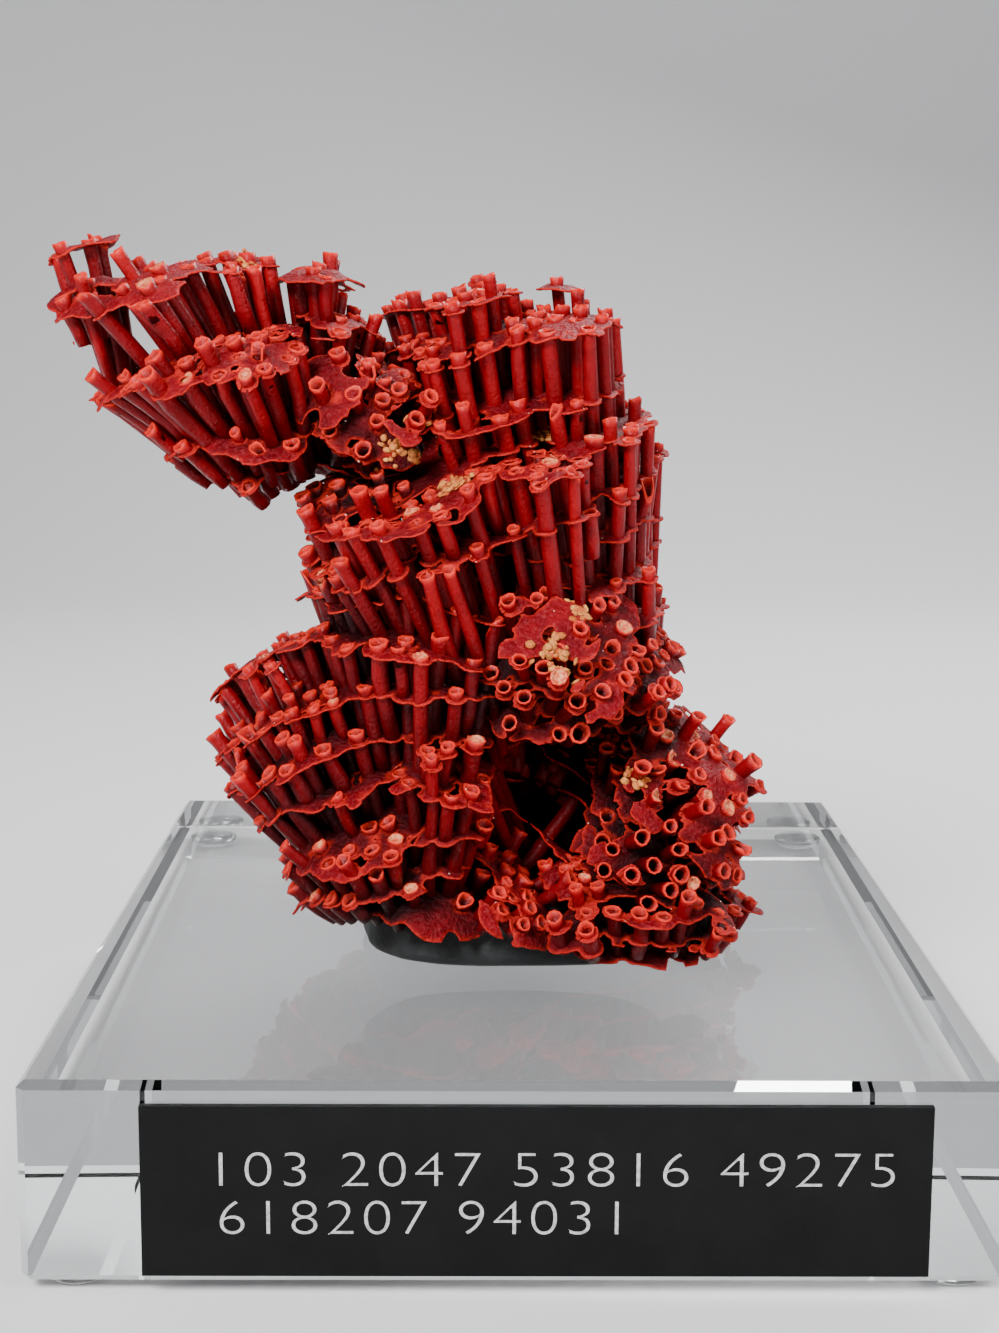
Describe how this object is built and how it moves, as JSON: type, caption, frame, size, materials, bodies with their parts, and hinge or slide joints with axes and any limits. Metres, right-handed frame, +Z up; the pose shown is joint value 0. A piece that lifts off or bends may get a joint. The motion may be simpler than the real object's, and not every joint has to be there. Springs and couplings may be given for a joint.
{
  "type": "organ pipe coral",
  "caption": "Dried red organ pipe coral colony with a left-leaning arm and terraced platforms, waxed onto a clear acrylic display block with a black label plate and clear bumpers.",
  "frame": {"origin": "middle of the whole assembly's box, at the table that the bumpers stand on", "axes": "+Z up, +Y from the label plate to the back, +X to the right as the label is faced; the arm leans to -X"},
  "size_m": [0.1251, 0.151, 0.128],
  "materials": {
    "clear_acrylic": "polished clear acrylic",
    "clear_bumper": "clear soft polyurethane",
    "black_label": "satin black",
    "museum_wax": "dull dark grey wax",
    "red_coral": "dry limestone with a slight gloss, deep red"
  },
  "bodies": {
    "root": {"display_block": "clear_acrylic", "foot_front_left": "clear_bumper", "foot_front_right": "clear_bumper", "foot_back_left": "clear_bumper", "foot_back_right": "clear_bumper", "label_plate": "black_label", "mounting_pad": "museum_wax", "coral_base": "red_coral", "coral_left_arm": "red_coral", "coral_upper_column": "red_coral"}
  },
  "joints": []
}
